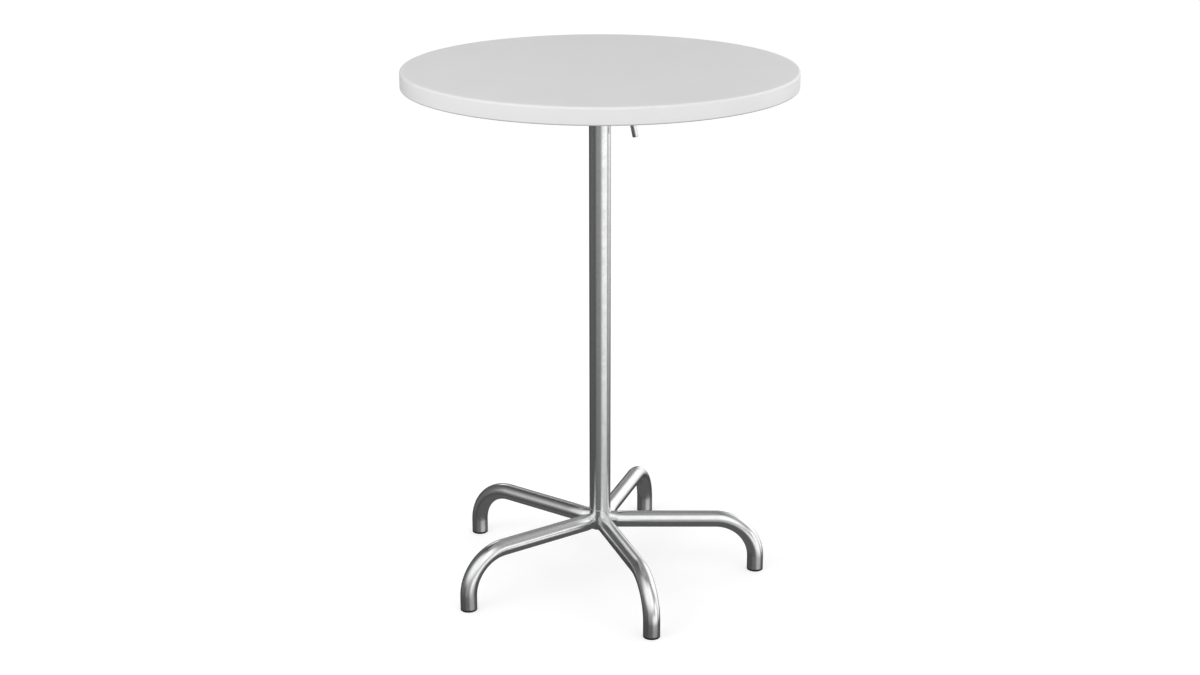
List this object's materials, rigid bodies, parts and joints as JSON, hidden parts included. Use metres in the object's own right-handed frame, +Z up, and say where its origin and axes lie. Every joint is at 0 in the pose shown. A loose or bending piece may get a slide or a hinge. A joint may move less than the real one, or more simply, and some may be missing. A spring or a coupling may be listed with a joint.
{
  "type": "standing table",
  "caption": "Round standing table with a white moulded top that tilts upright on a clamped pivot, on a round steel column with bent tube legs.",
  "frame": {"origin": "on the floor, on the axis of the column", "axes": "+Z up along the column; +X along the right leg and towards the clamp lever; the top tilts about X, its -Y edge down"},
  "size_m": [0.8, 0.8, 1.1],
  "materials": {
    "white_gelcoat": "satin gel coat on glass-fibre laminate",
    "galvanised_steel": "smooth galvanised, faintly mottled",
    "zinc_plated_steel": "bright zinc plate",
    "black_plastic": "moulded, slightly scuffed",
    "grey_plastic": "turned bearing plastic",
    "black_rubber": "matt",
    "core_wood": "raw board",
    "brass": "turned"
  },
  "bodies": {
    "stand": {"column": "galvanised_steel", "hub": "galvanised_steel", "leg_1": "galvanised_steel", "leg_2": "galvanised_steel", "leg_3": "galvanised_steel", "leg_4": "galvanised_steel", "leg_5": "galvanised_steel", "glide_1": "black_plastic", "glide_2": "black_plastic", "glide_3": "black_plastic", "glide_4": "black_plastic", "glide_5": "black_plastic", "pivot_barrel": "galvanised_steel", "pivot_bush_left": "grey_plastic", "pivot_bush_right": "grey_plastic"},
    "tilting_top": {"top_shell": "white_gelcoat", "core_board": "core_wood", "backing_skin": "white_gelcoat", "insert_1": "brass", "insert_2": "brass", "insert_3": "brass", "insert_4": "brass", "insert_5": "brass", "insert_6": "brass", "insert_7": "brass", "insert_8": "brass", "screw_1": "zinc_plated_steel", "screw_2": "zinc_plated_steel", "screw_3": "zinc_plated_steel", "screw_4": "zinc_plated_steel", "screw_5": "zinc_plated_steel", "screw_6": "zinc_plated_steel", "screw_7": "zinc_plated_steel", "screw_8": "zinc_plated_steel", "spider_plate": "galvanised_steel", "cheek_left": "galvanised_steel", "cheek_right": "galvanised_steel", "stop_bar": "galvanised_steel", "pivot_bolt": "zinc_plated_steel", "lever_washer": "zinc_plated_steel", "buffer": "black_rubber", "buffer_screw": "zinc_plated_steel"},
    "clamp_lever": {"lever_boss": "galvanised_steel", "lever_bar": "galvanised_steel"}
  },
  "joints": [
    {"name": "top_tilt", "type": "hinge", "parent": "stand", "child": "tilting_top", "pos_m": [0, 0, 1.0291], "axis": [1, 0, 0], "range_deg": [0, 90]},
    {"name": "lever_turn", "type": "hinge", "parent": "tilting_top", "child": "clamp_lever", "pos_m": [0.0542, 0, 1.0291], "axis": [1, 0, 0], "range_deg": [0, 90]}
  ]
}
